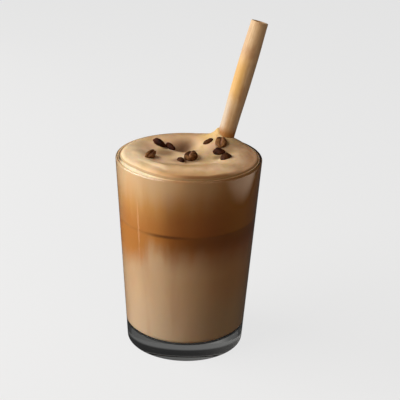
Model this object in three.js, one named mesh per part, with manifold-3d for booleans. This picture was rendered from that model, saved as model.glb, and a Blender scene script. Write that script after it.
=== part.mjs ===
// Iced coffee in a tapered tumbler: milk below, a dark coffee band, a tall head of foam with
// roasted beans on its dished top, and a straw that leans against the rim.
// Millimetres, +Z up. The origin is the centre of the glass foot's flat underside.
import * as THREE from 'three';
import { mergeVertices } from 'three/addons/utils/BufferGeometryUtils.js';
import Module from 'manifold-3d';

const wasm = await Module();
wasm.setup();

// Driving dimensions of the glass.
const RIM_RADIUS = 42.5;
const FOOT_RADIUS = 35.1;
const GLASS_HEIGHT = 116.1;
const WALL = 1.9;
const FLOOR_HEIGHT = 9.9;
const HEEL_RADIUS = 1;
const CORNER_RADIUS = 3.5;
const SECTORS = 64;

// Driving dimensions of the drink. GAP is the clearance between neighbouring pieces.
const GAP = 0.3;
const MILK_LEVEL = 74.6;
const MILK_LEFT_DROP = 3;
const COFFEE_LEVEL = 81.2;
const COFFEE_SLOPE = 0.02;
const EDGE_LEVEL = -0.25;
const EDGE_TILT = 0.15;
const EDGE_HIGH_BEARING = 0.55;
const CREST_HEIGHT = 2.1;
const CREST_BACK_DROP = 0.5;
const CREST_SIDE_DROP = 0.5;
const CREST_OUTER_DROP = 0.3;
const ROLL_WIDTH = 3.2;
const RIM_LEDGE = 0.5;
const LEDGE_WIDTH = 3.2;
const LEDGE_BEARING = -2.4;
const COLLAR_START = 26;
const BASIN_X = -2.5;
const BASIN_Y = 4;
const BASIN_HALF_WIDTH = 30.5;
const BASIN_HALF_DEPTH = 27;
const BASIN_DEPTH = 1.6;
const BASIN_FLAT_SHARE = 0.48;
const BASIN_EDGE_SHARE = 1.08;
const DIMPLE_X = -3.8;
const DIMPLE_Y = 19.8;
const DIMPLE_DEPTH = 3.2;
const DIMPLE_SPREAD = 6;
const HEAP_HEIGHT = 3.4;
const HEAP_SPREAD = 9.5;
const HEAP_ABOVE_RIM = 4;
const CLIMB_HEIGHT = 4.4;
const CLIMB_BEARING = 2.8;
const CLIMB_START = 5.4;
const CLIMB_FADE = 2.6;

// Driving dimensions of the straw: its axis crosses the rim plane at STRAW_X, STRAW_Y.
const STRAW_X = 20.8;
const STRAW_Y = 26.4;
const STRAW_LEAN_X = 0.26;
const STRAW_LEAN_Y = 0.12;
const STRAW_TOP = 187.8;
const STRAW_RADIUS = 5.1;
const STRAW_BULGE = 0.4;
const STRAW_WALL = 1.8;

// Driving dimensions of a coffee bean of size 1.
const BEAN_LENGTH = 10;
const BEAN_WIDTH = 6.8;
const BEAN_BACK = 3;
const BEAN_FACE = 1.9;
const BEAN_CREASE = 0.9;

function smoothstep(from, to, value) {
  const t = THREE.MathUtils.clamp((value - from) / (to - from), 0, 1);
  return t * t * (3 - 2 * t);
}

// A closed body from any geometry: corners are merged, empty triangles go and faces turn outwards.
function solidFrom(geometry) {
  const bare = geometry.clone();
  bare.deleteAttribute('normal');
  bare.deleteAttribute('uv');
  const merged = mergeVertices(bare, 1e-4);
  const index = merged.index.array;
  const triangles = [];
  let volume = 0;
  const a = new THREE.Vector3();
  const b = new THREE.Vector3();
  const c = new THREE.Vector3();
  for (let i = 0; i < index.length; i += 3) {
    const [p, q, r] = [index[i], index[i + 1], index[i + 2]];
    if (p === q || q === r || r === p) continue;
    triangles.push(p, q, r);
    a.fromBufferAttribute(merged.attributes.position, p);
    b.fromBufferAttribute(merged.attributes.position, q);
    c.fromBufferAttribute(merged.attributes.position, r);
    volume += a.dot(b.cross(c));
  }
  if (volume < 0) triangles.reverse();
  const mesh = new wasm.Mesh({
    numProp: 3,
    vertProperties: new Float32Array(merged.attributes.position.array),
    triVerts: new Uint32Array(triangles),
  });
  return new wasm.Manifold(mesh);
}

function meshFrom(name, solid, colour, roughness) {
  const { vertProperties, triVerts } = solid.getMesh();
  const geometry = new THREE.BufferGeometry();
  geometry.setAttribute('position', new THREE.BufferAttribute(vertProperties, 3));
  geometry.setIndex(new THREE.BufferAttribute(triVerts, 1));
  geometry.computeVertexNormals();
  const material = new THREE.MeshStandardMaterial({ color: colour, roughness, metalness: 0 });
  const mesh = new THREE.Mesh(geometry, material);
  mesh.name = name;
  return mesh;
}

// A profile of [radius, height] pairs turned about the Z axis.
function revolve(profile, sectors) {
  const points = profile.map(([radius, height]) => new THREE.Vector2(radius, height));
  return new THREE.LatheGeometry(points, sectors).rotateX(Math.PI / 2);
}

// Points on an arc in the profile plane, angles in degrees.
function arc(centreRadius, centreHeight, radius, from, to, steps) {
  const points = [];
  for (let i = 0; i <= steps; i += 1) {
    const angle = THREE.MathUtils.degToRad(from + ((to - from) * i) / steps);
    points.push([centreRadius + radius * Math.cos(angle), centreHeight + radius * Math.sin(angle)]);
  }
  return points;
}

// Moves every corner that lies on the flat level to the surface given by a height function.
function drapeLevel(geometry, level, surface) {
  const position = geometry.attributes.position;
  for (let i = 0; i < position.count; i += 1) {
    if (Math.abs(position.getZ(i) - level) > 1e-3) continue;
    position.setZ(i, surface(position.getX(i), position.getY(i)));
  }
  return geometry;
}

const outerRadius = (z) => FOOT_RADIUS + ((RIM_RADIUS - FOOT_RADIUS) * z) / GLASS_HEIGHT;
const innerRadius = (z) => outerRadius(z) - WALL;

// The tumbler: a flat foot with a rounded heel, a straight flared wall, a rounded lip and a thick floor.
function tumbler() {
  const lip = WALL / 2;
  const lipHeight = GLASS_HEIGHT - lip;
  const corner = innerRadius(FLOOR_HEIGHT + CORNER_RADIUS) - CORNER_RADIUS;
  const profile = [
    [0, 0],
    ...arc(outerRadius(HEEL_RADIUS) - HEEL_RADIUS, HEEL_RADIUS, HEEL_RADIUS, -90, 0, 4),
    [outerRadius(GLASS_HEIGHT / 2), GLASS_HEIGHT / 2],
    ...arc(outerRadius(lipHeight) - lip, lipHeight, lip, 0, 180, 6),
    [innerRadius(GLASS_HEIGHT / 2), GLASS_HEIGHT / 2],
    ...arc(corner, FLOOR_HEIGHT + CORNER_RADIUS, CORNER_RADIUS, 0, -90, 4),
    [0, FLOOR_HEIGHT],
  ];
  return solidFrom(revolve(profile, SECTORS));
}

// Straw: a tube about its own axis, slightly fuller at mid length, then leaned on the rim.
const strawAxis = new THREE.Vector3(STRAW_LEAN_X, STRAW_LEAN_Y, 1).normalize();
const strawTilt = STRAW_RADIUS * Math.hypot(strawAxis.x, strawAxis.y);
const strawFoot = FLOOR_HEIGHT + GAP + strawTilt;
const strawLength = (STRAW_TOP - strawFoot) / strawAxis.z;

function strawRadiusAt(share) {
  return STRAW_RADIUS + STRAW_BULGE * smoothstep(0.65, 0.82, share) * smoothstep(1, 0.88, share);
}

function leanOnRim(geometry) {
  const turn = new THREE.Quaternion().setFromUnitVectors(new THREE.Vector3(0, 0, 1), strawAxis);
  const drop = strawFoot - GLASS_HEIGHT;
  geometry.applyQuaternion(turn);
  return geometry.translate(STRAW_X + STRAW_LEAN_X * drop, STRAW_Y + STRAW_LEAN_Y * drop, strawFoot);
}

function straw() {
  const bore = STRAW_RADIUS - STRAW_WALL;
  const profile = [[bore, 0]];
  for (const share of [0, 0.65, 0.7, 0.76, 0.82, 0.88, 0.94, 1]) {
    profile.push([strawRadiusAt(share), share * strawLength]);
  }
  profile.push([bore, strawLength], [bore, 0]);
  return solidFrom(leanOnRim(revolve(profile, 24)));
}

// The room that the straw takes up in the drink.
function strawRoom() {
  const radius = STRAW_RADIUS + GAP;
  const reach = 20;
  const profile = [[0, -reach], [radius, -reach], [radius, strawLength], [0, strawLength]];
  return solidFrom(leanOnRim(revolve(profile, 24)));
}

// Uneven meeting of milk and coffee, lower at the left side.
function milkTop(x, y) {
  const ripple = 0.9 * Math.sin(0.11 * x + 0.6) + 0.7 * Math.cos(0.09 * y - 0.03 * x);
  return MILK_LEVEL + ripple - MILK_LEFT_DROP * smoothstep(-18, -40, x);
}

// The foam stands a little deeper at the left than at the right.
function coffeeTop(x) {
  return COFFEE_LEVEL + COFFEE_SLOPE * x;
}

const foamRadius = innerRadius(GLASS_HEIGHT) - GAP;
const drinkRadius = (z) => innerRadius(z) - GAP;

// The foam's rolled edge ends at a flat ledge beside the wall, which is widest at the front left.
function ledgeRadius(bearing) {
  const near = Math.exp(8 * (Math.cos(bearing - LEDGE_BEARING) - 1));
  return innerRadius(GLASS_HEIGHT) - RIM_LEDGE - LEDGE_WIDTH * near;
}

// The foam's top: a collar whose edge rolls down to the ledge, a dished basin with a dimple at its
// back, a heap round the straw and a tongue of foam that climbs the straw's left side.
const heapX = STRAW_X + HEAP_ABOVE_RIM * STRAW_LEAN_X;
const heapY = STRAW_Y + HEAP_ABOVE_RIM * STRAW_LEAN_Y;

function foamTop(x, y) {
  const radius = Math.hypot(x, y);
  const bearing = Math.atan2(y, x);
  const edge = EDGE_LEVEL + EDGE_TILT * Math.cos(bearing - EDGE_HIGH_BEARING);
  const backDrop = CREST_BACK_DROP * Math.sin(bearing);
  const sideDrop = CREST_SIDE_DROP * Math.abs(Math.cos(bearing));
  const crest = CREST_HEIGHT - backDrop - sideDrop;
  const collarWidth = innerRadius(GLASS_HEIGHT) - COLLAR_START;
  const out = THREE.MathUtils.clamp((radius - COLLAR_START) / collarWidth, 0, 1);
  const roll = THREE.MathUtils.clamp((radius - ledgeRadius(bearing)) / ROLL_WIDTH + 1, 0, 1);
  const rise = (crest - edge) * (1 - CREST_OUTER_DROP * out ** 2);
  const collar = edge + rise * Math.sqrt(1 - roll ** 2);
  const fromDimple = Math.hypot(x - DIMPLE_X, y - DIMPLE_Y);
  const basin = -BASIN_DEPTH - DIMPLE_DEPTH * Math.exp(-((fromDimple / DIMPLE_SPREAD) ** 2));
  const inBasin = Math.hypot((x - BASIN_X) / BASIN_HALF_WIDTH, (y - BASIN_Y) / BASIN_HALF_DEPTH);
  const dish = basin + (collar - basin) * smoothstep(BASIN_FLAT_SHARE, BASIN_EDGE_SHARE, inBasin);
  const fromStraw = Math.hypot(x - heapX, y - heapY);
  const side = 0.5 + 0.5 * Math.cos(Math.atan2(y - heapY, x - heapX) - CLIMB_BEARING);
  const heap = HEAP_HEIGHT * Math.exp(-(fromStraw ** 2) / (2 * HEAP_SPREAD ** 2));
  const climb = CLIMB_HEIGHT * side ** 3 * Math.exp(-Math.max(fromStraw - CLIMB_START, 0) / CLIMB_FADE);
  return GLASS_HEIGHT + dish + (heap + climb) * (1 - out ** 4);
}

// Ring radii of a draped surface, from the wall to the axis, closer together at the wall if crowded.
function ringRadii(outer, count, crowding = 1) {
  const radii = [];
  for (let i = 0; i <= count; i += 1) radii.push(outer * (1 - (i / count) ** crowding));
  return radii;
}

function milk() {
  const bottom = FLOOR_HEIGHT + GAP;
  const round = CORNER_RADIUS;
  const corner = drinkRadius(bottom + round) - round;
  const top = 200;
  const profile = [
    [0, bottom],
    ...arc(corner, bottom + round, round, -90, 0, 4),
    ...ringRadii(drinkRadius(MILK_LEVEL), 7).map((radius) => [radius, top]),
  ];
  return solidFrom(drapeLevel(revolve(profile, SECTORS), top, milkTop)).subtract(strawRoom());
}

function coffee() {
  const [low, high] = [-200, 200];
  const profile = [
    ...ringRadii(drinkRadius(MILK_LEVEL), 7).reverse().map((radius) => [radius, low]),
    [drinkRadius(COFFEE_LEVEL), high],
    [0, high],
  ];
  const blank = drapeLevel(revolve(profile, SECTORS), low, (x, y) => milkTop(x, y) + GAP);
  return solidFrom(drapeLevel(blank, high, coffeeTop)).subtract(strawRoom());
}

// A bean lies along X with its domed back up and a crease along its flat face.
function beanGeometry(bean, swell, creased) {
  const geometry = new THREE.SphereGeometry(1, 20, 9).rotateZ(Math.PI / 2);
  const position = geometry.attributes.position;
  const half = (length) => (length * bean.size) / 2 + swell;
  for (let i = 0; i < position.count; i += 1) {
    const [along, across, up] = [position.getX(i), position.getZ(i), position.getY(i)];
    const width = across * half(BEAN_WIDTH * bean.slim) * (1 - 0.08 * along);
    const back = BEAN_BACK * bean.size + swell;
    const face = BEAN_FACE * bean.size + swell;
    const bend = 0.08 * Math.sin(Math.PI * along);
    const crease = creased ? BEAN_CREASE * bean.size * Math.exp(-(((across - bend) / 0.2) ** 2)) : 0;
    const height = up > 0 ? up * back : crease * Math.sqrt(1 - along ** 2) - face * Math.sqrt(-up);
    position.setXYZ(i, along * half(BEAN_LENGTH), width, height);
  }
  if (bean.faceUp) geometry.rotateX(Math.PI);
  geometry.rotateX(bean.roll).rotateY(bean.pitch).rotateZ(bean.turn);
  return geometry.translate(bean.x, bean.y, foamTop(bean.x, bean.y) + bean.lift);
}

// Beans on the foam: place and height of the middle, turns in radians, size and share of the full width.
const beans = [
  { x: -17.7, y: 18.7, lift: 1.4, turn: -0.5, roll: 0.35, pitch: 0.4, size: 0.85, slim: 0.62, faceUp: false },
  { x: -11.2, y: 17.8, lift: 0.9, turn: -0.9, roll: 0.5, pitch: 0.15, size: 0.8, slim: 0.72, faceUp: false },
  { x: -22.2, y: -1.6, lift: 1.4, turn: 1.1, roll: 0.55, pitch: -0.2, size: 0.96, slim: 0.8, faceUp: true },
  { x: 1, y: 1, lift: 1.4, turn: 1.5, roll: -0.2, pitch: 0.05, size: 1.18, slim: 0.98, faceUp: true },
  { x: -4.5, y: -4.4, lift: -0.1, turn: -1.15, roll: 0, pitch: 0.1, size: 0.68, slim: 0.88, faceUp: false },
  { x: 12, y: 21.6, lift: -1, turn: 0.3, roll: 0.7, pitch: -0.25, size: 0.8, slim: 0.8, faceUp: false },
  { x: 18.9, y: 16.2, lift: 1.1, turn: 1.55, roll: 0, pitch: -0.3, size: 0.93, slim: 1.12, faceUp: true },
  { x: 17.6, y: 6.7, lift: 0.9, turn: -0.65, roll: 0.05, pitch: 0, size: 0.83, slim: 0.95, faceUp: false },
  { x: 21.4, y: -4.4, lift: 0.3, turn: -1.9, roll: 0, pitch: 0, size: 0.89, slim: 1.07, faceUp: false },
];

function foam() {
  const [low, high] = [-200, 400];
  const profile = [
    [0, low],
    [drinkRadius(COFFEE_LEVEL), low],
    ...ringRadii(foamRadius, 16, 1.6).map((radius) => [radius, high]),
  ];
  const blank = drapeLevel(revolve(profile, SECTORS), low, (x) => coffeeTop(x) + GAP);
  let head = solidFrom(drapeLevel(blank, high, foamTop)).subtract(strawRoom());
  for (const bean of beans) head = head.subtract(solidFrom(beanGeometry(bean, GAP, false)));
  return head.decompose().sort((first, second) => second.volume() - first.volume())[0];
}

const icedCoffee = new THREE.Group();
icedCoffee.name = 'iced_coffee';
icedCoffee.add(meshFrom('glass', tumbler(), 0xdfe6e6, 0.05));
icedCoffee.add(meshFrom('milk', milk(), 0xc9a67e, 0.45));
icedCoffee.add(meshFrom('coffee', coffee(), 0x8a4f1e, 0.35));
icedCoffee.add(meshFrom('foam', foam(), 0xc79f72, 0.7));
icedCoffee.add(meshFrom('straw', straw(), 0xc9a26c, 0.65));
beans.forEach((bean, i) => {
  const solid = solidFrom(beanGeometry(bean, 0, true));
  icedCoffee.add(meshFrom(`bean_${i + 1}`, solid, 0x2c150c, 0.45));
});

export default icedCoffee;
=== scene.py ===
import math

import bmesh
import bpy
from mathutils import Euler, Matrix, Vector, noise


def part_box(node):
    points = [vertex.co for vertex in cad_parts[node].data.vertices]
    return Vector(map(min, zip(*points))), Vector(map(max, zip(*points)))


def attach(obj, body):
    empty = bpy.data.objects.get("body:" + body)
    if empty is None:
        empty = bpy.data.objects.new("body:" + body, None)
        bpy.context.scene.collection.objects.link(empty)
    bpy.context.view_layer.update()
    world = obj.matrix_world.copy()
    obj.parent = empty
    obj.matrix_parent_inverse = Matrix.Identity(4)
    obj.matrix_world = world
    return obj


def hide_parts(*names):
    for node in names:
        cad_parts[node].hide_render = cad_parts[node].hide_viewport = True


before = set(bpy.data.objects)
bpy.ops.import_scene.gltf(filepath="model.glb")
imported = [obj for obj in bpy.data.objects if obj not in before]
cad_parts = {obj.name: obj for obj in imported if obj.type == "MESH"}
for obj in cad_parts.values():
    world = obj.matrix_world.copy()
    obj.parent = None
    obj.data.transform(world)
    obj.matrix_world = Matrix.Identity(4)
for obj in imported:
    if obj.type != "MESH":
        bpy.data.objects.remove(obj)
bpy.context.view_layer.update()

MM = 0.001
UP = (0.0, 0.0, 1.0)

# The tumbler, in metres.
RIM_RADIUS = 42.5 * MM
FOOT_RADIUS = 35.1 * MM
GLASS_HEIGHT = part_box("glass")[1][2]
WALL = 1.9 * MM
FLOOR_HEIGHT = 9.9 * MM
HEEL_RADIUS = 1.0 * MM
CORNER_RADIUS = 3.5 * MM
EDGE_SUPPORT = 0.4 * MM

# The drink. Its pieces reach INTO_WALL past the inner face of the glass.
INTO_WALL = 0.15 * MM
FLOOR_FILM = 0.12 * MM
FLOOR_ROUND = 0.6 * MM
MILK_WALL_HEIGHTS = (30 * MM, 50 * MM, 66 * MM)
FOAM_WALL_HEIGHTS = (92 * MM, 104 * MM, 112 * MM, 114.2 * MM)

# Levels in the drink, in millimetres.
MILK_LEVEL = 74.6
MILK_WAVE_ACROSS = 0.9
MILK_WAVE_DEEP = 0.7
MILK_LEFT_DROP = 3.0
MILK_DROP_START = -18.0
MILK_DROP_END = -40.0
COFFEE_LEVEL = 81.2
COFFEE_SLOPE = 0.02

# The foam's top, in millimetres and radians, with heights from the rim.
EDGE_LEVEL = -0.25
EDGE_TILT = 0.15
EDGE_HIGH_BEARING = 0.55
CREST_HEIGHT = 2.1
CREST_BACK_DROP = 0.5
CREST_SIDE_DROP = 0.5
CREST_OUTER_DROP = 0.3
COLLAR_START = 26.0
ROLL_WIDTH = 3.2
RIM_LEDGE = 0.5
LEDGE_WIDTH = 3.2
LEDGE_BEARING = -2.4
LEDGE_FOCUS = 8.0
BASIN_X = -2.5
BASIN_Y = 4.0
BASIN_HALF_WIDTH = 30.5
BASIN_HALF_DEPTH = 27.0
BASIN_DEPTH = 1.6
BASIN_FLAT_SHARE = 0.48
BASIN_EDGE_SHARE = 1.08
DIMPLE_X = -3.8
DIMPLE_Y = 19.8
DIMPLE_DEPTH = 3.2
DIMPLE_SPREAD = 6.0
HEAP_HEIGHT = 3.4
HEAP_SPREAD = 9.5
HEAP_ABOVE_RIM = 4.0
CLIMB_HEIGHT = 4.4
CLIMB_BEARING = 2.8
CLIMB_START = 5.4
CLIMB_FADE = 2.6

# Fine relief on the foam, in millimetres. It fades out before the rim.
FOLD_HEIGHT = 0.32
FOLD_LENGTH = 9.0
FOLD_SEED = 0.4
BEAN_LIP_HEIGHT = 0.3
BEAN_LIP_SPREAD = 0.22
RELIEF_EDGE = 40.6
RELIEF_FULL = 36.0

# The straw: where its axis crosses the rim plane, how it leans, its section and where it bulges.
STRAW_AT_RIM = Vector((20.8, 26.4, 116.1)) * MM
STRAW_LEAN = Vector((0.26, 0.12, 1.0)).normalized()
STRAW_TOP = 187.8 * MM
STRAW_RADIUS = 5.1 * MM
STRAW_BULGE = 0.4 * MM
BULGE_RISE = (0.65, 0.82)
BULGE_FALL = (1.0, 0.88)
STRAW_WALL = 1.8 * MM
STRAW_NICK = 0.25 * MM
STRAW_FLOOR_GAP = 0.3 * MM

# A bean of size 1, in millimetres. Its crease and taper are shares, its wrinkles depths and rates.
BEAN_LENGTH = 10.0
BEAN_WIDTH = 6.8
BEAN_BACK = 3.0
BEAN_FACE = 1.9
BEAN_CREASE = 0.9
BEAN_CREASE_WIDTH = 0.19
BEAN_CREASE_BEND = 0.08
BEAN_TAPER = 0.08
BEAN_WRINKLES = ((0.14, 1.6), (0.06, 4.5))
BEAN_SEED_STEP = 3.1

# Each bean's place on the foam (mm), its turns (radians), its size, width share, paleness and face.
BEANS = (
    {"x": -17.7, "y": 18.7, "lift": 1.4, "turn": -0.5, "roll": 0.35, "pitch": 0.4,
     "size": 0.85, "slim": 0.62, "pale": 0.0, "face_up": False},
    {"x": -11.2, "y": 17.8, "lift": 0.9, "turn": -0.9, "roll": 0.5, "pitch": 0.15,
     "size": 0.8, "slim": 0.72, "pale": 0.0, "face_up": False},
    {"x": -22.2, "y": -1.6, "lift": 1.4, "turn": 1.1, "roll": 0.55, "pitch": -0.2,
     "size": 0.96, "slim": 0.8, "pale": 0.6, "face_up": True},
    {"x": 1.0, "y": 1.0, "lift": 1.4, "turn": 1.5, "roll": -0.2, "pitch": 0.05,
     "size": 1.18, "slim": 0.98, "pale": 0.45, "face_up": True},
    {"x": -4.5, "y": -4.4, "lift": -0.1, "turn": -1.15, "roll": 0.0, "pitch": 0.1,
     "size": 0.68, "slim": 0.88, "pale": 0.1, "face_up": False},
    {"x": 12.0, "y": 21.6, "lift": -1.0, "turn": 0.3, "roll": 0.7, "pitch": -0.25,
     "size": 0.8, "slim": 0.8, "pale": 0.1, "face_up": False},
    {"x": 18.9, "y": 16.2, "lift": 1.1, "turn": 1.55, "roll": 0.0, "pitch": -0.3,
     "size": 0.93, "slim": 1.12, "pale": 0.65, "face_up": True},
    {"x": 17.6, "y": 6.7, "lift": 0.9, "turn": -0.65, "roll": 0.05, "pitch": 0.0,
     "size": 0.83, "slim": 0.95, "pale": 0.0, "face_up": False},
    {"x": 21.4, "y": -4.4, "lift": 0.3, "turn": -1.9, "roll": 0.0, "pitch": 0.0,
     "size": 0.89, "slim": 1.07, "pale": 0.15, "face_up": False},
)

# How finely the pieces are turned, ringed and merged.
GLASS_STEPS = 192
DRINK_STEPS = 160
FOAM_STEPS = 240
STRAW_STEPS = 64
CORNER_STEPS = 10
LIP_STEPS = 14
MILK_RINGS = 24
COFFEE_RINGS = 8
FOAM_RINGS = 120
FOAM_RING_POWER = 1.3
STRAW_RINGS = 40
BEAN_SEGMENTS = 48
BEAN_STACKS = 32
MERGE_DISTANCE = 1e-7
LEVEL_TOLERANCE = 1e-6
SHARP_ANGLE = math.radians(40.0)

# Flat levels that the rings of a top or an underside are spun at, before they are draped.
LOW_MARK = -1.0
HIGH_MARK = 1.0

# Colours of the milk, the coffee and the foam's sides, as the eye sees them, from 0 to 255.
MILK_DEEP = (204, 166, 126)
MILK_PALE = (218, 183, 144)
MILK_FOOT = (212, 184, 152)
MILK_STREAK = (196, 152, 120)
# Painted shade: the milk darker and warmer to the right, and darker at its far left edge.
MILK_PAINTED_SHADE_RIGHT = (168, 124, 84)
MILK_PAINTED_SHADE_LEFT = (182, 146, 106)
MILK_GREY = (186, 168, 144)
AMBER = (188, 122, 54)
FROTH_LOW = (186, 120, 52)
FROTH_MIDDLE = (202, 146, 80)
FROTH_HIGH = (222, 184, 138)
STEEPED_COFFEE = (134, 74, 18)
STEEPED_FROTH = (140, 84, 30)
OLIVE_FROTH = (172, 120, 28)
COFFEE_STEP = (104, 60, 12)
COFFEE_LINE = (84, 44, 10)
# Painted shade on the foam's side at the far left: greyer, and darker under the lip.
SIDE_LEFT_PAINTED_SHADE = (156, 132, 104)
UNDER_LIP_PAINTED_SHADE = (122, 98, 70)

# Colours of the foam's top, painted shade and painted light among them.
FOAM_DEEP = (204, 170, 131)
FOAM_PALE = (222, 192, 153)
FOAM_GOLD = (196, 168, 112)
FOAM_ROSE = (208, 166, 138)
FOAM_PAINTED_LIGHT = (250, 220, 178)
FOAM_RIGHT_EDGE_PAINTED_LIGHT = (214, 172, 134)
ROLL_PAINTED_SHADE = (118, 78, 40)
LEDGE_LINE_PAINTED_SHADE = (146, 118, 78)
FILM_PAINTED_SHADE = (84, 68, 48)

# The thin film of foam on the ledge inside the rim: its colour, by the share of the way across, with
# painted light: a bright cream highlight at the left, and paler tan where the right side lies in shade.
FILM_TONE_AND_PAINTED_LIGHT = ((0.04, (236, 214, 180)), (0.085, (255, 240, 208)), (0.25, (255, 236, 198)),
                (0.42, (212, 162, 108)), (0.7, (194, 145, 104)), (0.85, (204, 160, 125)),
                (0.95, (200, 166, 138)))

# Soft tints on the foam's top, laid one over the other. Each is strongest round a place (mm), fades out
# between two distances (mm), and stretches along an axis that is squeezed before the distance is taken.
# Most rows are painted shade or painted light; the tongue and the basin's front are tints of the foam's own
# colour.
FOAM_PAINTED_SHADE_AND_TINTS = (
    # Painted shade at the front, the back and the right side.
    {"x": 0.0, "y": -45.0, "squeeze": (0.0, 1.0), "fade": (21, 7), "share": 0.85, "tone": (182, 138, 88)},
    {"x": 0.0, "y": 45.0, "squeeze": (0.0, 1.0), "fade": (25, 9), "share": 0.85, "tone": (174, 136, 100)},
    {"x": 45.0, "y": 0.0, "squeeze": (1.0, 0.0), "fade": (21, 7), "share": 0.9, "tone": (150, 108, 74)},
    # Painted shade at the right back, where the straw's shadow falls, and at the left back.
    {"x": 30.0, "y": 19.0, "squeeze": (1.0, 1.0), "fade": (11, 3), "share": 0.6, "tone": (124, 96, 62)},
    {"x": -33.0, "y": 17.0, "squeeze": (1.0, 1.0), "fade": (11, 3), "share": 0.9, "tone": (160, 130, 98)},
    # Painted shade round the four beans at the right, and in the gaps between them.
    {"x": 18.0, "y": 11.0, "squeeze": (1.0, 0.7), "fade": (10.5, 2), "share": 0.62, "tone": (118, 87, 55)},
    {"x": 25.5, "y": 9.43, "squeeze": (1.0, 0.7), "fade": (8, 1), "share": 0.5, "tone": (92, 64, 38)},
    {"x": 17.0, "y": 1.0, "squeeze": (1.0, 1.0), "fade": (5.5, 1), "share": 0.65, "tone": (96, 66, 38)},
    # Painted shade on the basin's left edge, and on the collar at the front right.
    {"x": -29.0, "y": 4.0, "squeeze": (1.0, 1.0), "fade": (6, 2), "share": 0.45, "tone": (160, 130, 98)},
    {"x": 27.0, "y": -22.0, "squeeze": (1.0, 1.0), "fade": (11, 2), "share": 0.45, "tone": (134, 96, 62)},
    # Painted shade between the two back-left beans, painted light at the straw's foot, painted shade round
    # the middle beans.
    {"x": -14.3, "y": 17.8, "squeeze": (1.0, 1.0), "fade": (3.6, 1.5), "share": 0.85, "tone": (40, 22, 12)},
    {"x": 25.0, "y": 25.5, "squeeze": (1.0, 1.0), "fade": (6, 2), "share": 0.6, "tone": (224, 188, 144)},
    {"x": -3.0, "y": -4.0, "squeeze": (0.6, 1.0), "fade": (5.5, 2), "share": 0.75, "tone": (118, 82, 56)},
    # The tongue beside the straw, painted shade in the hollow at the left, and the basin's front.
    {"x": 14.0, "y": 28.0, "squeeze": (1.0, 1.0), "fade": (11, 4), "share": 0.8, "tone": (196, 164, 104)},
    {"x": -14.0, "y": 9.0, "squeeze": (1.0, 1.0), "fade": (9, 2), "share": 0.85, "tone": (120, 90, 62)},
    {"x": -2.0, "y": -18.0, "squeeze": (0.5, 1.0), "fade": (13, 4), "share": 0.75, "tone": (170, 130, 80)},
    # Painted light on the left side, and painted shade in the dimple and in the streak in front of it.
    {"x": -45.0, "y": 0.0, "squeeze": (1.0, 0.0), "fade": (21, 11), "share": 0.4, "tone": (226, 206, 170)},
    {"x": -2.0, "y": 13.0, "squeeze": (0.5, 1.0), "fade": (4.5, 1.5), "share": 0.75, "tone": (108, 70, 42)},
    {"x": -2.8, "y": 21.5, "squeeze": (1.0, 1.0), "fade": (10, 1), "share": 0.95, "tone": (96, 60, 28)},
)

# Colours of the straw and the beans.
STRAW_DEEP = (176, 130, 88)
STRAW_TAN = (202, 166, 122)
STRAW_PALE = (214, 184, 144)
STRAW_FIBRE = (160, 122, 82)
# Painted light: a pale left edge, and a paler right side where the straw lies in shade.
STRAW_LEFT_PAINTED_LIGHT = (204, 188, 166)
STRAW_RIGHT_PAINTED_LIGHT = (206, 182, 156)
STRAW_GOLD = (208, 162, 88)
STRAW_HIGH = (226, 198, 162)
STRAW_LOW = (178, 152, 118)
STRAW_LOW_EDGES = (194, 180, 164)
STRAW_WET = (154, 104, 52)
BEAN_BLACK = (24, 4, 0)
BEAN_DARK = (64, 28, 9)
BEAN_BROWN = (66, 32, 8)
BEAN_PALE = (142, 100, 60)
BEAN_THREAD = (158, 114, 92)

# The studio's lamps: place, size and power in metres and watts. All of them face the middle of the glass.
STUDIO_MIDDLE = (0.0, 0.0, 0.08)
SOFTBOXES = (
    {"name": "window_left", "place": (-0.75, -0.10, 0.50), "size": (1.1, 0.8), "power": 16.5,
     "colour": (1.0, 0.97, 0.93)},
    {"name": "soft_top", "place": (0.0, 0.15, 0.75), "size": (0.5, 0.5), "power": 0.4,
     "colour": (1.0, 0.96, 0.92)},
    {"name": "warm_fill", "place": (0.45, -0.65, 0.35), "size": (0.5, 0.5), "power": 1.6,
     "colour": (1.0, 0.72, 0.45)},
)
ROOM_GREY = (0.05, 0.05, 0.05, 1.0)

# The cards that the glass wall mirrors: a thin streak and a pale edge at the left, a patch at the right.
MIRRORED_CARDS = (
    {"name": "streak_card", "width": 14 * MM, "depth": 60 * MM, "place": (-0.15, -0.026, 0.016),
     "aim": (0.0, -0.026, 0.016), "colour": (1.0, 0.78, 0.55, 1.0), "strength": 2.0},
    {"name": "edge_card", "width": 0.6, "depth": 0.7, "place": (-0.4, 0.6, 0.12),
     "aim": (0.0, 0.0, 0.08), "colour": (1.0, 0.95, 0.88, 1.0), "strength": 0.6},
    {"name": "patch_card", "width": 0.32, "depth": 42 * MM, "place": (0.15, -0.012, 0.057),
     "aim": (0.0, 0.0, 0.1), "colour": (1.0, 0.8, 0.62, 1.0), "strength": 1.4},
)

# The dark table that shows through the clear base, with a painted contact shadow round the foot and a grey
# ring of painted light outside it.
TABLE_DROP = 0.4 * MM
TABLE_DARK_AND_PAINTED_SHADOW = (0.012, 0.012, 0.012, 1.0)
TABLE_PAINTED_LIGHT_GREY = (0.12, 0.12, 0.118, 1.0)
RING_START = FOOT_RADIUS + 9 * MM
RING_FULL = FOOT_RADIUS + 12.5 * MM
RING_FADE = 90 * MM
RING_END = 130 * MM

# The camera stands in front of the glass and looks down on it, turned a little to the right.
CAMERA_PLACE = Vector((0.0, -583.17, 326.16)) * MM
CAMERA_PITCH = 0.386624
CAMERA_YAW = 0.012206
CAMERA_ROLL = 0.029311
CAMERA_LENS = 96.32
CAMERA_SENSOR = 36.0


def smoothstep(low, high, value):
    t = min(max((value - low) / (high - low), 0.0), 1.0)
    return t * t * (3.0 - 2.0 * t)


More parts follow.
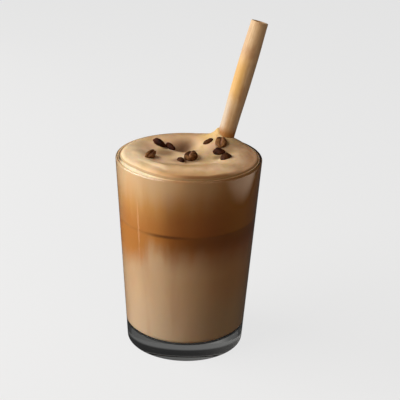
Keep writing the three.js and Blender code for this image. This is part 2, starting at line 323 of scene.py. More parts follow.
def outer_radius(z):
    return FOOT_RADIUS + (RIM_RADIUS - FOOT_RADIUS) * z / GLASS_HEIGHT


def inner_radius(z):
    return outer_radius(z) - WALL


def drink_radius(z):
    return inner_radius(z) + INTO_WALL


# Heights in the drink, from places in millimetres to levels in millimetres.
def milk_top(x, y):
    ripple = MILK_WAVE_ACROSS * math.sin(0.11 * x + 0.6)
    ripple += MILK_WAVE_DEEP * math.cos(0.09 * y - 0.03 * x)
    return MILK_LEVEL + ripple - MILK_LEFT_DROP * smoothstep(MILK_DROP_START, MILK_DROP_END, x)


def coffee_top(x, y):
    return COFFEE_LEVEL + COFFEE_SLOPE * x


def ledge_radius(bearing):
    """Where the foam's rolled edge ends: at the wall, or at the inner side of a ledge at the front left."""
    near = math.exp(LEDGE_FOCUS * (math.cos(bearing - LEDGE_BEARING) - 1.0))
    return inner_radius(GLASS_HEIGHT) / MM - RIM_LEDGE - LEDGE_WIDTH * near


def foam_top(x, y):
    """The foam's top: a collar beside the rim, a basin, a heap at the straw and a tongue up its side."""
    radius = math.hypot(x, y)
    bearing = math.atan2(y, x)
    wall_radius = inner_radius(GLASS_HEIGHT) / MM
    edge = EDGE_LEVEL + EDGE_TILT * math.cos(bearing - EDGE_HIGH_BEARING)
    crest = CREST_HEIGHT - CREST_BACK_DROP * math.sin(bearing) - CREST_SIDE_DROP * abs(math.cos(bearing))
    out = min(max((radius - COLLAR_START) / (wall_radius - COLLAR_START), 0.0), 1.0)
    roll = min(max((radius - ledge_radius(bearing)) / ROLL_WIDTH + 1.0, 0.0), 1.0)
    collar = edge + (crest - edge) * (1.0 - CREST_OUTER_DROP * out ** 2) * math.sqrt(1.0 - roll ** 2)
    from_dimple = math.hypot(x - DIMPLE_X, y - DIMPLE_Y)
    basin = -BASIN_DEPTH - DIMPLE_DEPTH * math.exp(-((from_dimple / DIMPLE_SPREAD) ** 2))
    in_basin = math.hypot((x - BASIN_X) / BASIN_HALF_WIDTH, (y - BASIN_Y) / BASIN_HALF_DEPTH)
    dish = basin + (collar - basin) * smoothstep(BASIN_FLAT_SHARE, BASIN_EDGE_SHARE, in_basin)
    heap_place = STRAW_AT_RIM / MM + STRAW_LEAN * (HEAP_ABOVE_RIM / STRAW_LEAN.z)
    dx, dy = x - heap_place.x, y - heap_place.y
    from_straw = math.hypot(dx, dy)
    side = 0.5 + 0.5 * math.cos(math.atan2(dy, dx) - CLIMB_BEARING)
    heap = HEAP_HEIGHT * math.exp(-(from_straw ** 2) / (2.0 * HEAP_SPREAD ** 2))
    climb = CLIMB_HEIGHT * side ** 3 * math.exp(-max(from_straw - CLIMB_START, 0.0) / CLIMB_FADE)
    return GLASS_HEIGHT / MM + dish + (heap + climb) * (1.0 - out ** 4)


def foam_relief(x, y):
    """Soft folds in the foam and the small lip that it raises round each bean, in millimetres."""
    place = Vector((x / FOLD_LENGTH, y / FOLD_LENGTH, FOLD_SEED))
    folds = FOLD_HEIGHT * noise.fractal(place, 1.0, 2.0, 3)
    lip = 0.0
    for bean in BEANS:
        c, s = math.cos(bean["turn"]), math.sin(bean["turn"])
        dx, dy = x - bean["x"], y - bean["y"]
        along = (dx * c + dy * s) / (0.5 * BEAN_LENGTH * bean["size"])
        across = (dy * c - dx * s) / (0.5 * BEAN_WIDTH * bean["slim"] * bean["size"])
        off_edge = (math.hypot(along, across) - 1.0) / BEAN_LIP_SPREAD
        lip = max(lip, BEAN_LIP_HEIGHT * math.exp(-(off_edge ** 2)))
    return folds + lip


def foam_surface(x, y):
    return foam_top(x, y) + foam_relief(x, y) * smoothstep(RELIEF_EDGE, RELIEF_FULL, math.hypot(x, y))


# Geometry helpers.
def arc(centre_radius, centre_height, radius, start, end, steps):
    angles = [math.radians(start + (end - start) * i / steps) for i in range(steps + 1)]
    return [(centre_radius + radius * math.cos(a), centre_height + radius * math.sin(a)) for a in angles]


def ring_radii(outer, count, power=1.0):
    """Radii from a rim in to the middle. A power over 1 sets them closer together at the rim."""
    return [outer * (1.0 - (i / count) ** power) for i in range(count + 1)]


def turned(profile, steps):
    """A profile of (radius, height) points turned about the Z axis into a closed skin."""
    bm = bmesh.new()
    verts = [bm.verts.new((radius, 0.0, height)) for radius, height in profile]
    edges = [bm.edges.new(pair) for pair in zip(verts, verts[1:])]
    bmesh.ops.spin(bm, geom=verts + edges, cent=(0, 0, 0), axis=(0, 0, 1), angle=math.tau,
                   steps=steps, use_merge=True, use_duplicate=False)
    bmesh.ops.remove_doubles(bm, verts=bm.verts, dist=MERGE_DISTANCE)
    bmesh.ops.recalc_face_normals(bm, faces=bm.faces)
    return bm


def drape(bm, level, surface):
    """Moves the corners that lie on a flat level to the height that surface gives for their place."""
    for vert in bm.verts:
        if abs(vert.co.z - level) < LEVEL_TOLERANCE:
            vert.co.z = surface(vert.co.x / MM, vert.co.y / MM) * MM


def finished(name, bm, material, node):
    """Makes the mesh an object that rides on the body and stands for its CAD node."""
    mesh = bpy.data.meshes.new(name)
    bm.to_mesh(mesh)
    bm.free()
    mesh.shade_smooth()
    mesh.set_sharp_from_angle(angle=SHARP_ANGLE)
    mesh.materials.append(material)
    piece = bpy.data.objects.new(name, mesh)
    bpy.context.scene.collection.objects.link(piece)
    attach(piece, "root")
    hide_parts(node)
    return piece


# Material helpers.
def tone(red, green, blue):
    """An eye colour from 0 to 255 as a linear colour."""
    shares = [value / 255 for value in (red, green, blue)]
    linear = [((v + 0.055) / 1.055) ** 2.4 if v > 0.04 else v / 12.92 for v in shares]
    return (*linear, 1.0)


class Finish:
    """A material under construction: its node tree, its shader and short ways to add nodes."""

    def __init__(self, name):
        self.material = bpy.data.materials.new(name)
        self.material.use_nodes = True
        self.tree = self.material.node_tree
        self.shader = self.tree.nodes["Principled BSDF"]

    def node(self, kind, **values):
        made = self.tree.nodes.new(kind)
        for key, value in values.items():
            setattr(made, key, value)
        return made

    def link(self, source, target):
        self.tree.links.new(source, target)

    def place(self):
        return self.node("ShaderNodeTexCoord").outputs["Object"]

    def attribute(self, name, output="Fac"):
        return self.node("ShaderNodeAttribute", attribute_name=name).outputs[output]

    def stretched(self, vector, scale):
        mapping = self.node("ShaderNodeMapping")
        mapping.inputs["Scale"].default_value = scale
        self.link(vector, mapping.inputs["Vector"])
        return mapping.outputs["Vector"]

    def drawn_out(self, vector, share):
        """The place with its height scaled by share, which makes a pattern longer along Z."""
        return self.stretched(vector, (1.0, 1.0, share))

    def cloud(self, vector, scale, detail=3.0, rough=0.5):
        cloud = self.node("ShaderNodeTexNoise")
        cloud.inputs["Scale"].default_value = scale
        cloud.inputs["Detail"].default_value = detail
        cloud.inputs["Roughness"].default_value = rough
        self.link(vector, cloud.inputs["Vector"])
        return cloud.outputs["Fac"]

    def parts(self, vector, axes):
        split = self.node("ShaderNodeSeparateXYZ")
        self.link(vector, split.inputs["Vector"])
        return [split.outputs[axis] for axis in axes]

    def distance(self, vector, point):
        made = self.node("ShaderNodeVectorMath", operation="DISTANCE")
        self.link(vector, made.inputs[0])
        made.inputs[1].default_value = point
        return made.outputs["Value"]

    def maths(self, operation, first, second):
        made = self.node("ShaderNodeMath", operation=operation)
        for socket, value in zip(made.inputs, (first, second)):
            if isinstance(value, (int, float)):
                socket.default_value = value
            else:
                self.link(value, socket)
        return made.outputs["Value"]

    def times(self, first, second):
        return self.maths("MULTIPLY", first, second)

    def plus(self, first, second):
        return self.maths("ADD", first, second)

    def apart(self, value, middle):
        return self.maths("ABSOLUTE", self.maths("SUBTRACT", value, middle), 0.0)

    def sway(self, cloud, reach):
        """A cloud's value as a shift to either side, in metres."""
        return self.times(self.maths("SUBTRACT", cloud, 0.5), reach)

    def span(self, value, low, high, to_low=0.0, to_high=1.0):
        made = self.node("ShaderNodeMapRange", interpolation_type="SMOOTHSTEP")
        made.inputs["From Min"].default_value = low
        made.inputs["From Max"].default_value = high
        made.inputs["To Min"].default_value = to_low
        made.inputs["To Max"].default_value = to_high
        self.link(value, made.inputs["Value"])
        return made.outputs["Result"]

    def fade(self, value, start, end, share=1.0):
        """Rises from nothing at start to a share at end, which are places in millimetres."""
        return self.span(value, start * MM, end * MM, 0.0, share)

    def ramp(self, value, *stops):
        made = self.node("ShaderNodeValToRGB")
        bar = made.color_ramp.elements
        while len(bar) < len(stops):
            bar.new(0.5)
        for element, (position, colour) in zip(bar, stops):
            element.position = position
            element.color = tone(*colour)
        self.link(value, made.inputs["Fac"])
        return made.outputs["Color"]

    def mixed(self, factor, first, second):
        made = self.node("ShaderNodeMix", data_type="RGBA")
        sockets = [made.inputs[0], made.inputs[6], made.inputs[7]]
        for socket, value in zip(sockets, (factor, first, second)):
            if isinstance(value, tuple):
                socket.default_value = value
            else:
                self.link(value, socket)
        return made.outputs[2]

    def tint(self, base, factor, colour):
        return self.mixed(factor, base, tone(*colour))

    def colour(self, source):
        self.link(source, self.shader.inputs["Base Color"])

    def roughness(self, source):
        self.link(source, self.shader.inputs["Roughness"])

    def bump(self, height, strength, distance):
        made = self.node("ShaderNodeBump")
        made.inputs["Strength"].default_value = strength
        made.inputs["Distance"].default_value = distance
        self.link(height, made.inputs["Height"])
        self.link(made.outputs["Normal"], self.shader.inputs["Normal"])

    def set(self, **values):
        for key, value in values.items():
            self.shader.inputs[key.replace("_", " ")].default_value = value


def clear_glass():
    finish = Finish("clear_glass")
    finish.set(Base_Color=(0.97, 0.98, 0.98, 1.0), Roughness=0.0, IOR=1.5, Transmission_Weight=1.0)
    return finish.material


def scatter(finish, weight, reach):
    finish.set(Subsurface_Weight=weight, Subsurface_Radius=(1.0, 0.45, 0.18), Subsurface_Scale=reach)


def milk_colour(finish, place, streak):
    """Clouded milk with faint streaks: paler low down, shaded at both sides, greyer at the lower right."""
    x, z = finish.parts(place, "XZ")
    soft = finish.cloud(finish.drawn_out(place, 0.5), scale=42.0, detail=4.0)
    milk = finish.ramp(soft, (0.3, MILK_DEEP), (0.7, MILK_PALE))
    milk = finish.tint(milk, finish.fade(z, 50, 14, share=0.8), MILK_FOOT)
    milk = finish.tint(milk, finish.span(streak, 0.5, 0.66, to_high=0.3), MILK_STREAK)
    # Painted shade: darker and warmer to the right, away from the lamp, and darker at the far left edge.
    milk = finish.tint(milk, finish.fade(x, -16, 32, share=0.6), MILK_PAINTED_SHADE_RIGHT)
    milk = finish.tint(milk, finish.fade(x, -28, -36, share=0.45), MILK_PAINTED_SHADE_LEFT)
    low_right = finish.times(finish.fade(x, -2, 24, share=0.75), finish.fade(z, 52, 22))
    return finish.tint(milk, low_right, MILK_GREY)


def coffee_share(finish, place, streak):
    """How much coffee is in the milk: it rises across a frayed edge that hangs lower at the left."""
    x, z = finish.parts(place, "XZ")
    wisps = finish.cloud(finish.drawn_out(place, 0.3), scale=75.0, detail=4.0, rough=0.6)
    wander = finish.plus(finish.sway(wisps, 26 * MM), finish.sway(streak, 16 * MM))
    droop = finish.span(x, -12 * MM, -30 * MM, -2 * MM, 1.5 * MM)
    hang = finish.span(x, -26 * MM, -33 * MM, 0.0, 10 * MM)
    level = finish.plus(finish.plus(z, wander), finish.plus(droop, hang))
    return finish.fade(level, 60, 79)


def layer_colour(finish, place):
    """The drink's colour by height: milk, amber wisps, a thin dark line, then foam that pales upwards."""
    x, z = finish.parts(place, "XZ")
    streak = finish.cloud(finish.drawn_out(place, 0.16), scale=120.0)
    strands = finish.sway(streak, 20 * MM)
    milk = milk_colour(finish, place, streak)
    drink = finish.tint(milk, coffee_share(finish, place, streak), AMBER)
    froth_height = finish.fade(finish.plus(z, strands), 82.6, 116.6)
    froth = finish.ramp(froth_height, (0.0, FROTH_LOW), (0.4, FROTH_MIDDLE), (1.0, FROTH_HIGH))
    body = finish.mixed(finish.fade(z, 80.6, 84.6), drink, froth)
    inwards = finish.plus(x, finish.times(strands, 0.8))
    near_band = finish.fade(finish.apart(z, 84.6 * MM), 30, 6)
    steeped = finish.times(finish.fade(inwards, -20, -4, share=0.75), near_band)
    body = finish.tint(body, steeped, STEEPED_COFFEE)
    high_middle = finish.times(finish.fade(inwards, -16, 4, share=0.4), finish.fade(z, 92, 104))
    body = finish.tint(body, high_middle, STEEPED_FROTH)
    high_right = finish.times(finish.fade(x, 12, 30, share=0.7), finish.fade(z, 70, 84))
    body = finish.tint(body, high_right, OLIVE_FROTH)
    seam = finish.maths("SUBTRACT", z, finish.times(x, COFFEE_SLOPE))
    below_seam = finish.times(finish.fade(seam, 81.5, 80.9), finish.fade(seam, 68, 78))
    body = finish.tint(body, finish.times(below_seam, finish.fade(x, -10, 6, share=0.4)), COFFEE_STEP)
    on_seam = finish.fade(finish.apart(seam, 81.3 * MM), 1.5, 0.2)
    line_depth = finish.span(finish.apart(x, -11 * MM), 16 * MM, 2 * MM, 0.1, 0.72)
    return finish.tint(body, finish.times(on_seam, line_depth), COFFEE_LINE)


def milk_finish():
    """Pale milk, with amber wisps of coffee that hang down from its upper edge."""
    finish = Finish("milky_layer")
    finish.colour(layer_colour(finish, finish.place()))
    finish.set(Roughness=0.35)
    scatter(finish, 0.3, 4.0 * MM)
    return finish.material


def coffee_finish():
    """Dark amber coffee, darkest in the thin line under the foam."""
    finish = Finish("coffee_band")
    finish.colour(layer_colour(finish, finish.place()))
    finish.set(Roughness=0.3)
    scatter(finish, 0.3, 4.0 * MM)
    return finish.material


def crown_colour(finish, place):
    """The foam's top: creamy and clouded, with soft tints, painted shade and light, a shaded roll and a
    pale film on the ledge.
    """
    x, y = finish.parts(place, "XY")
    crown = finish.ramp(finish.cloud(place, scale=60.0, detail=4.0), (0.3, FOAM_DEEP), (0.7, FOAM_PALE))
    mottle = finish.cloud(finish.stretched(place, (1.0, 0.6, 1.0)), scale=110.0, detail=2.0)
    crown = finish.tint(crown, finish.span(mottle, 0.52, 0.66, to_high=0.5), FOAM_GOLD)
    crown = finish.tint(crown, finish.span(mottle, 0.46, 0.34, to_high=0.5), FOAM_ROSE)
    # Lay the table's painted shade, painted light and tints over the crown.
    for spot in FOAM_PAINTED_SHADE_AND_TINTS:
        along, across = spot["squeeze"]
        centre = (spot["x"] * along * MM, spot["y"] * across * MM, 0.0)
        away = finish.distance(finish.stretched(place, (along, across, 0.0)), centre)
        crown = finish.tint(crown, finish.fade(away, *spot["fade"], share=spot["share"]), spot["tone"])
    from_ledge = finish.attribute("from_ledge")
    # Painted light: the collar at the front left, which faces the lamp, is painted bright cream.
    collar = finish.times(finish.span(from_ledge, -14.5, -11.0), finish.span(from_ledge, -5.0, -8.0))
    front_left = finish.times(finish.fade(x, -10, -17, share=0.9), finish.fade(y, 6, -2))
    crown = finish.tint(crown, finish.times(collar, front_left), FOAM_PAINTED_LIGHT)
    # Painted light: the foam's right edge, which lies in shade, is painted paler.
    right_edge_painted_light = finish.times(finish.span(from_ledge, -3.5, -1.0), finish.fade(x, 20, 34, share=0.8))
    crown = finish.tint(crown, right_edge_painted_light, FOAM_RIGHT_EDGE_PAINTED_LIGHT)
    # Painted shade on the roll at the front, which turns away from the lamp.
    front_right = finish.times(finish.fade(y, -22, -36), finish.fade(x, -14, 2))
    roll_painted_shade = finish.times(finish.span(from_ledge, -3.4, -1.2, to_high=0.9), front_right)
    crown = finish.tint(crown, roll_painted_shade, ROLL_PAINTED_SHADE)
    # Painted light on the film: a bright highlight at the left, and a paler tan than shade would give at
    # the right.
    sideways = finish.times(finish.plus(x, RIM_RADIUS), 0.5 / RIM_RADIUS)
    film = finish.ramp(sideways, *FILM_TONE_AND_PAINTED_LIGHT)
    # Painted shade: a dark crescent on the film at the far left, beside the glass's edge.
    film = finish.tint(film, finish.times(finish.fade(x, -35, -39), finish.fade(y, -14, -5)), FILM_PAINTED_SHADE)
    crown = finish.mixed(finish.span(from_ledge, 0.1, 0.6), crown, film)
    # Painted shade: a dark line in the crevice where the roll meets the ledge.
    off_line = finish.apart(from_ledge, -0.1)
    return finish.tint(crown, finish.span(off_line, 0.65, 0.2, to_high=0.75), LEDGE_LINE_PAINTED_SHADE)


def foam_side_colour(finish, place):
    """The foam behind the glass: as the drink, with painted shade at the far left: greyer, and dark under
    the lip there.
    """
    x, y, z = finish.parts(place, "XYZ")
    sides = finish.tint(layer_colour(finish, place), finish.fade(x, -32, -40, share=0.4), SIDE_LEFT_PAINTED_SHADE)
    # Painted shade: a dark band under the lip at the far left, beside the glass's edge.
    under_lip_painted_shade = finish.times(finish.fade(x, -30, -39), finish.fade(z, 111, 114.6, share=0.8))
    return finish.tint(sides, finish.times(under_lip_painted_shade, finish.fade(y, -14, -5)), UNDER_LIP_PAINTED_SHADE)


def foam_finish():
    """Tan froth: creamy on top, soaked with amber coffee and its streaks towards the lower edge."""
    finish = Finish("coffee_foam")
    place = finish.place()
    on_top = finish.attribute("crown")
    finish.colour(finish.mixed(on_top, foam_side_colour(finish, place), crown_colour(finish, place)))
    bubbles = finish.node("ShaderNodeTexVoronoi", feature="SMOOTH_F1")
    bubbles.inputs["Scale"].default_value = 1300.0
    finish.link(place, bubbles.inputs["Vector"])
    grain = finish.plus(bubbles.outputs["Distance"], finish.cloud(place, scale=500.0))
    finish.bump(grain, strength=0.1, distance=0.3 * MM)
    finish.set(Roughness=0.6, Specular_IOR_Level=0.3)
    scatter(finish, 0.3, 3.0 * MM)
    return finish.material


def straw_finish():
    """Tan straw with fine fibres along its length, golden mottling, a wet foot, and painted light on its
    left edge and its shaded right side.
    """
    finish = Finish("tan_straw")
    along = finish.attribute("along_straw", "Vector")
    fibre = finish.cloud(finish.drawn_out(along, 0.03), scale=900.0, detail=4.0, rough=0.6)
    mottle = finish.cloud(finish.drawn_out(along, 0.5), scale=150.0, rough=0.6)
    x, z = finish.parts(along, "XZ")
    straw = finish.ramp(mottle, (0.36, STRAW_DEEP), (0.5, STRAW_TAN), (0.64, STRAW_PALE))
    straw = finish.tint(straw, finish.span(fibre, 0.35, 0.65, to_high=0.5), STRAW_FIBRE)
    # Painted light: paler along the lit left edge, most of all low down, and paler on the right side in
    # shade.
    left = finish.times(finish.fade(x, -2.6, -5, share=0.8), finish.span(z, 174 * MM, 150 * MM, 0.3, 1.0))
    straw = finish.tint(straw, left, STRAW_LEFT_PAINTED_LIGHT)
    straw = finish.tint(straw, finish.fade(x, 0.5, 4, share=0.8), STRAW_RIGHT_PAINTED_LIGHT)
    golden = finish.times(finish.fade(x, 2, -2), finish.fade(finish.apart(z, 160 * MM), 20, 5, share=0.75))
    straw = finish.tint(straw, golden, STRAW_GOLD)
    straw = finish.tint(straw, finish.fade(z, 162, 178, share=0.2), STRAW_HIGH)
    straw = finish.tint(straw, finish.fade(z, 152, 138, share=0.35), STRAW_LOW)
    low_edges = finish.times(finish.fade(finish.apart(x, 0.0), 1.5, 4), finish.fade(z, 152, 138, share=0.5))
    straw = finish.tint(straw, low_edges, STRAW_LOW_EDGES)
    wet = finish.fade(finish.plus(z, finish.times(mottle, 4 * MM)), 133.6, 127.6)
    finish.colour(finish.tint(straw, wet, STRAW_WET))
    finish.roughness(finish.span(fibre, 0.2, 0.8, 0.5, 0.65))
    finish.bump(fibre, strength=0.4, distance=0.3 * MM)
    finish.set(Specular_IOR_Level=0.2)
    return finish.material


def bean_finish():
    """Dark roast with a faint oil sheen, a wrinkled skin and a paler thread in the crease."""
    finish = Finish("roasted_bean")
    place = finish.place()
    soft = finish.cloud(place, scale=320.0, detail=4.0)
    dark = finish.ramp(soft, (0.35, BEAN_BLACK), (0.65, BEAN_DARK))
    lit = finish.ramp(soft, (0.38, BEAN_BROWN), (0.62, BEAN_PALE))
    skin = finish.mixed(finish.attribute("pale"), dark, lit)
    in_crease = finish.span(finish.attribute("crease"), 0.5, 0.9)
    finish.colour(finish.tint(skin, in_crease, BEAN_THREAD))
    finish.roughness(finish.span(soft, 0.3, 0.7, 0.55, 0.75))
    finish.bump(finish.cloud(place, scale=900.0, detail=4.0, rough=0.6), strength=0.5, distance=0.4 * MM)
    finish.set(Specular_IOR_Level=0.08)
    return finish.material


# Pieces.
def tumbler():
    """Flat foot, rounded heel, straight flared wall, rounded lip and thick floor."""
    lip = WALL / 2
    lip_height = GLASS_HEIGHT - lip
    heel = outer_radius(HEEL_RADIUS) - HEEL_RADIUS
    corner_height = FLOOR_HEIGHT + CORNER_RADIUS
    corner = inner_radius(corner_height) - CORNER_RADIUS
    profile = [(0.0, 0.0), (heel - EDGE_SUPPORT, 0.0)]
    profile += arc(heel, HEEL_RADIUS, HEEL_RADIUS, -90, 0, CORNER_STEPS)
    for z in (HEEL_RADIUS + EDGE_SUPPORT, GLASS_HEIGHT * 0.5, lip_height - EDGE_SUPPORT):
        profile.append((outer_radius(z), z))
    profile += arc(outer_radius(lip_height) - lip, lip_height, lip, 0, 180, LIP_STEPS)
    for z in (lip_height - EDGE_SUPPORT, GLASS_HEIGHT * 0.5, corner_height + EDGE_SUPPORT):
        profile.append((inner_radius(z), z))
    profile += arc(corner, corner_height, CORNER_RADIUS, 0, -90, CORNER_STEPS)
    profile += [(corner - EDGE_SUPPORT, FLOOR_HEIGHT), (0.0, FLOOR_HEIGHT)]
    piece = finished("tumbler", turned(profile, GLASS_STEPS), clear_glass(), "glass")
    piece.visible_shadow = False


def milk_layer():
    """Reaches into the wall, and stands a hair above the glass floor, which mirrors from below."""
    bottom = FLOOR_HEIGHT + FLOOR_FILM
    round_radius = CORNER_RADIUS + FLOOR_ROUND
    corner = drink_radius(bottom + round_radius) - round_radius
    profile = [(0.0, bottom)] + arc(corner, bottom + round_radius, round_radius, -90, 0, CORNER_STEPS)
    profile += [(drink_radius(z), z) for z in MILK_WALL_HEIGHTS]
    profile += [(radius, HIGH_MARK) for radius in ring_radii(drink_radius(MILK_LEVEL * MM), MILK_RINGS)]
    bm = turned(profile, DRINK_STEPS)
    drape(bm, HIGH_MARK, milk_top)
    finished("milk_layer", bm, milk_finish(), "milk")


def coffee_band():
    underside = ring_radii(drink_radius(MILK_LEVEL * MM), MILK_RINGS)
    profile = [(radius, LOW_MARK) for radius in reversed(underside)]
    profile += [(radius, HIGH_MARK) for radius in ring_radii(drink_radius(COFFEE_LEVEL * MM), COFFEE_RINGS)]
    bm = turned(profile, DRINK_STEPS)
    drape(bm, LOW_MARK, milk_top)
    drape(bm, HIGH_MARK, coffee_top)
    finished("coffee_band", bm, coffee_finish(), "coffee")


def foam_head():
    """Its corners carry two values: crown marks the top, from_ledge says how far past the roll they are."""
    underside = ring_radii(drink_radius(COFFEE_LEVEL * MM), COFFEE_RINGS)
    rings = ring_radii(drink_radius(GLASS_HEIGHT), FOAM_RINGS, FOAM_RING_POWER)
    profile = [(radius, LOW_MARK) for radius in reversed(underside)]
    profile += [(drink_radius(z), z) for z in FOAM_WALL_HEIGHTS]
    profile += [(radius, HIGH_MARK) for radius in rings]
    bm = turned(profile, FOAM_STEPS)
    crown = bm.verts.layers.float.new("crown")
    from_ledge = bm.verts.layers.float.new("from_ledge")
    for vert in bm.verts:
        place = Vector((vert.co.x, vert.co.y, 0.0)) / MM
        vert[crown] = 1.0 if vert.co.z == HIGH_MARK else 0.0
        vert[from_ledge] = place.length - ledge_radius(math.atan2(place.y, place.x))
    drape(bm, LOW_MARK, coffee_top)
    drape(bm, HIGH_MARK, foam_surface)
    finished("foam_head", bm, foam_finish(), "foam")


def straw_radius(share):
    return STRAW_RADIUS + STRAW_BULGE * smoothstep(*BULGE_RISE, share) * smoothstep(*BULGE_FALL, share)


def leaning_straw():
    """Turned upright, where each corner keeps its place along the straw, and then leant over."""
    foot = FLOOR_HEIGHT + STRAW_FLOOR_GAP + STRAW_RADIUS * math.hypot(STRAW_LEAN.x, STRAW_LEAN.y)
    length = (STRAW_TOP - foot) / STRAW_LEAN.z
    bore = STRAW_RADIUS - STRAW_WALL
    profile = [(bore, STRAW_NICK), (bore + STRAW_NICK, 0.0)]
    profile += [(STRAW_RADIUS - STRAW_NICK, 0.0), (STRAW_RADIUS, STRAW_NICK)]
    for i in range(1, STRAW_RINGS):
        profile.append((straw_radius(i / STRAW_RINGS), length * i / STRAW_RINGS))
    profile += [(STRAW_RADIUS, length - STRAW_NICK), (STRAW_RADIUS - STRAW_NICK, length)]
    profile += [(bore + STRAW_NICK, length), (bore, length - STRAW_NICK), (bore, STRAW_NICK)]
    bm = turned(profile, STRAW_STEPS)
    layer = bm.verts.layers.float_vector.new("along_straw")
    for vert in bm.verts:
        vert[layer] = vert.co + Vector((0.0, 0.0, foot))
    place = STRAW_AT_RIM + STRAW_LEAN * ((foot - STRAW_AT_RIM.z) / STRAW_LEAN.z)
    lean = Vector(UP).rotation_difference(STRAW_LEAN).to_matrix().to_4x4()
    bmesh.ops.transform(bm, matrix=Matrix.Translation(place) @ lean, verts=bm.verts)
    finished("leaning_straw", bm, straw_finish(), "straw")


def roasted_bean(number, bean, material):
    """An egg-shaped bean with a domed back, a flatter face and a bent crease along that face."""
    bm = bmesh.new()
    bmesh.ops.create_uvsphere(bm, u_segments=BEAN_SEGMENTS, v_segments=BEAN_STACKS, radius=1.0)
    crease = bm.verts.layers.float.new("crease")
    pale = bm.verts.layers.float.new("pale")
    size = bean["size"]
    half_width = 0.5 * BEAN_WIDTH * bean["slim"] * size
    seed = Vector((number * BEAN_SEED_STEP, 0.0, 0.0))
    for vert in bm.verts:
        along, across, up = vert.co.z, vert.co.x, vert.co.y
        if up > 0:
            fold = 0.0
            height = up * BEAN_BACK * size
        else:
            off_crease = (across - BEAN_CREASE_BEND * math.sin(math.pi * along)) / BEAN_CREASE_WIDTH
            fold = math.exp(-(off_crease ** 2)) * math.sqrt(max(1.0 - along ** 2, 0.0))
            height = BEAN_CREASE * size * fold - BEAN_FACE * size * math.sqrt(-up)
        vert[crease] = fold
        vert[pale] = bean["pale"]
        wrinkle = 1.0
        for depth, rate in BEAN_WRINKLES:
            wrinkle += depth * noise.noise(vert.co * rate + seed)
        width = half_width * across * (1.0 - BEAN_TAPER * along)
        vert.co = Vector((along * 0.5 * BEAN_LENGTH * size, width, height)) * (wrinkle * MM)
    bmesh.ops.recalc_face_normals(bm, faces=bm.faces)
    turn = Matrix.Rotation(bean["turn"], 4, "Z") @ Matrix.Rotation(bean["pitch"], 4, "Y")
    turn = turn @ Matrix.Rotation(bean["roll"], 4, "X")
    if bean["face_up"]:
        turn = turn @ Matrix.Rotation(math.pi, 4, "X")
    place = Vector((bean["x"], bean["y"], foam_top(bean["x"], bean["y"]) + bean["lift"])) * MM
    bmesh.ops.transform(bm, matrix=Matrix.Translation(place) @ turn, verts=bm.verts)
    finished(f"roasted_bean_{number}", bm, material, f"bean_{number}")


# Studio.
def stage_card(name, bm, material, seen_by):
    """A card or floor that only the named kind of ray can see."""
    mesh = bpy.data.meshes.new(name)
    bm.to_mesh(mesh)
    bm.free()
    mesh.materials.append(material)
    card = bpy.data.objects.new(name, mesh)
    for ray in ("camera", "diffuse", "glossy", "transmission", "volume_scatter", "shadow"):
        setattr(card, f"visible_{ray}", ray == seen_by)
    bpy.context.scene.collection.objects.link(card)


def sheet_of(width, depth, place, aim):
    """A flat rectangle at a place, facing a point, with its own UV map."""
    bm = bmesh.new()
    bm.loops.layers.uv.new("UVMap")
    bmesh.ops.create_grid(bm, x_segments=1, y_segments=1, size=0.5, calc_uvs=True)
    bmesh.ops.scale(bm, vec=(width, depth, 1.0), verts=bm.verts)
    turn = (Vector(aim) - Vector(place)).to_track_quat("Z", "Y").to_matrix().to_4x4()
    bmesh.ops.transform(bm, matrix=Matrix.Translation(place) @ turn, verts=bm.verts)
    return bm


def glow(name, colour, strength):
    finish = Finish(name)
    finish.set(Base_Color=(0.0, 0.0, 0.0, 1.0), Emission_Color=colour, Emission_Strength=strength)
    return finish


def soft_glow(name, colour, strength):
    """A glow that fades from the middle of a card to its edges."""
    finish = glow(name, colour, strength)
    place = finish.node("ShaderNodeTexCoord").outputs["UV"]
    from_middle = finish.distance(place, (0.5, 0.5, 0.0))
    brightness = finish.span(from_middle, 0.5, 0.1, to_high=strength)
    finish.link(brightness, finish.shader.inputs["Emission Strength"])
    return finish


def pale_floor():
    finish = glow("pale_floor", (1.0, 1.0, 1.0, 1.0), strength=0.75)
    finish.set(Base_Color=(0.06, 0.06, 0.06, 1.0), Roughness=0.9)
    floor = sheet_of(width=8.0, depth=8.0, place=(0.0, 0.0, 0.0), aim=UP)
    stage_card("pale_floor", floor, finish.material, "camera")


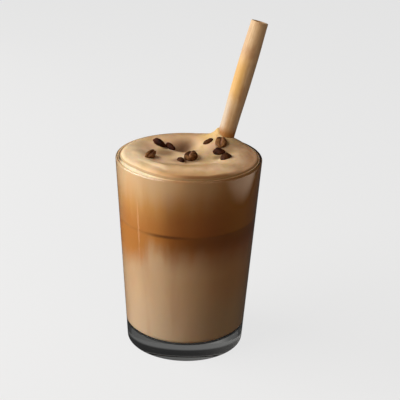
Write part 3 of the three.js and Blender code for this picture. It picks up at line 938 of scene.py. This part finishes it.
def seen_in_base():
    """What the clear base shows: a dark table with a painted shadow round the foot and a grey ring of
    painted light, and a grey room behind.
    """
    table = glow("dark_table_painted_shadow", (1.0, 1.0, 1.0, 1.0), strength=1.0)
    from_axis = table.distance(table.stretched(table.place(), (1.0, 1.0, 0.0)), (0.0, 0.0, 0.0))
    past_foot = table.span(from_axis, RING_START, RING_FULL)
    ring = table.times(past_foot, table.span(from_axis, RING_END, RING_FADE))
    # Painted contact shadow dark round the foot, a grey ring of painted light past it, dark again further
    # out.
    table.link(table.mixed(ring, TABLE_DARK_AND_PAINTED_SHADOW, TABLE_PAINTED_LIGHT_GREY), table.shader.inputs["Emission Color"])
    table_top = sheet_of(width=1.0, depth=1.0, place=(0.0, 0.0, -TABLE_DROP), aim=UP)
    stage_card("dark_table_painted_shadow", table_top, table.material, "transmission")
    room = glow("grey_room", (1.0, 1.0, 0.98, 1.0), strength=0.1)
    back = sheet_of(width=3.0, depth=2.0, place=(0.0, 0.8, 0.9), aim=(0.0, 0.0, 0.9))
    stage_card("grey_room", back, room.material, "transmission")


def wall_reflections():
    for card in MIRRORED_CARDS:
        sheet = sheet_of(card["width"], card["depth"], card["place"], card["aim"])
        finish = soft_glow(card["name"], card["colour"], card["strength"])
        stage_card(card["name"], sheet, finish.material, "glossy")


def softbox(name, place, size, power, colour):
    light = bpy.data.lights.new(name, "AREA")
    light.shape = "RECTANGLE"
    light.size, light.size_y = size
    light.energy = power
    light.color = colour
    lamp = bpy.data.objects.new(name, light)
    lamp.location = place
    lamp.rotation_euler = (Vector(STUDIO_MIDDLE) - Vector(place)).to_track_quat("-Z", "Y").to_euler()
    lamp.visible_camera = False
    lamp.visible_transmission = False
    bpy.context.scene.collection.objects.link(lamp)


def studio():
    scene = bpy.context.scene
    world = bpy.data.worlds.new("dim_room")
    world.use_nodes = True
    world.node_tree.nodes["Background"].inputs["Color"].default_value = ROOM_GREY
    scene.world = world
    for lamp in SOFTBOXES:
        softbox(**lamp)
    pale_floor()
    seen_in_base()
    wall_reflections()
    scene.view_settings.view_transform = "Standard"
    scene.cycles.caustics_refractive = False
    scene.cycles.caustics_reflective = False


def camera():
    lens = bpy.data.cameras.new("camera")
    lens.lens = CAMERA_LENS
    lens.sensor_width = CAMERA_SENSOR
    lens.clip_start = 0.01
    view = bpy.data.objects.new("camera", lens)
    turn = Euler((math.pi / 2 - CAMERA_PITCH, 0.0, -CAMERA_YAW)).to_matrix()
    turn = turn @ Matrix.Rotation(CAMERA_ROLL, 3, "Z")
    view.matrix_world = Matrix.Translation(CAMERA_PLACE) @ turn.to_4x4()
    bpy.context.scene.collection.objects.link(view)
    bpy.context.scene.camera = view


tumbler()
milk_layer()
coffee_band()
foam_head()
leaning_straw()
bean_material = bean_finish()
for bean_number, bean_place in enumerate(BEANS, 1):
    roasted_bean(bean_number, bean_place, bean_material)
studio()
camera()
